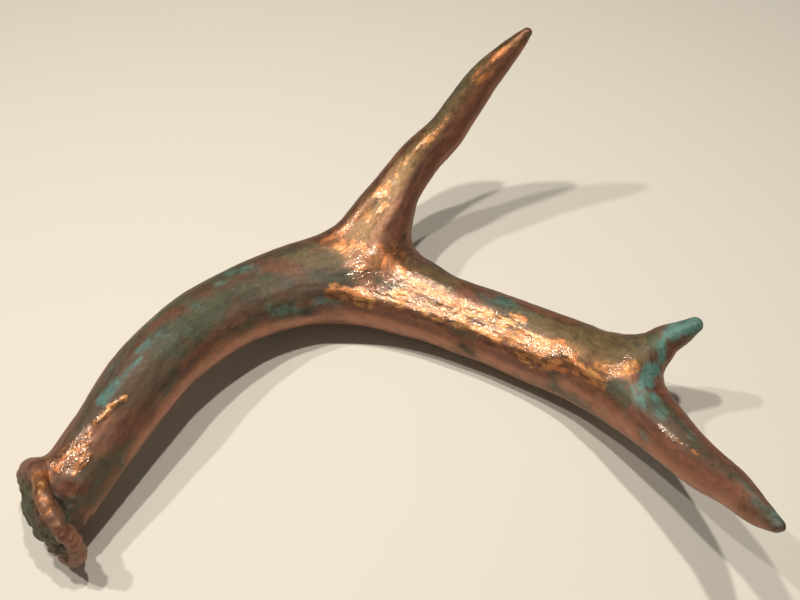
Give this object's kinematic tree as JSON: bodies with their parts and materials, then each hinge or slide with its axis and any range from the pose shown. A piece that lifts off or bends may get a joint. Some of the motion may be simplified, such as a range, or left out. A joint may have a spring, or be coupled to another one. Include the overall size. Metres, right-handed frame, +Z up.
{
  "type": "painted deer antler",
  "caption": "Small shed deer antler lying on its side: knobby burr, curved beam, tapering tines, painted metallic copper with a green patina.",
  "frame": {"origin": "on the resting plane, under the middle of the whole antler's bounding box", "axes": "+X from the burr's side towards the end tine's tip, +Y towards the long tine's side, +Z up as the antler lies"},
  "size_m": [0.254, 0.193, 0.0943],
  "materials": {
    "copper_over_patina": "metallic copper-brown paint mottled with grey-green, under a glossy clear coat",
    "bright_copper": "bright gold-copper metallic paint under a glossy clear coat",
    "teal_patina": "teal patina paint over copper, under a glossy clear coat"
  },
  "bodies": {
    "root": {"main_beam": "copper_over_patina", "long_tine": "bright_copper", "short_tine": "teal_patina"}
  },
  "joints": []
}
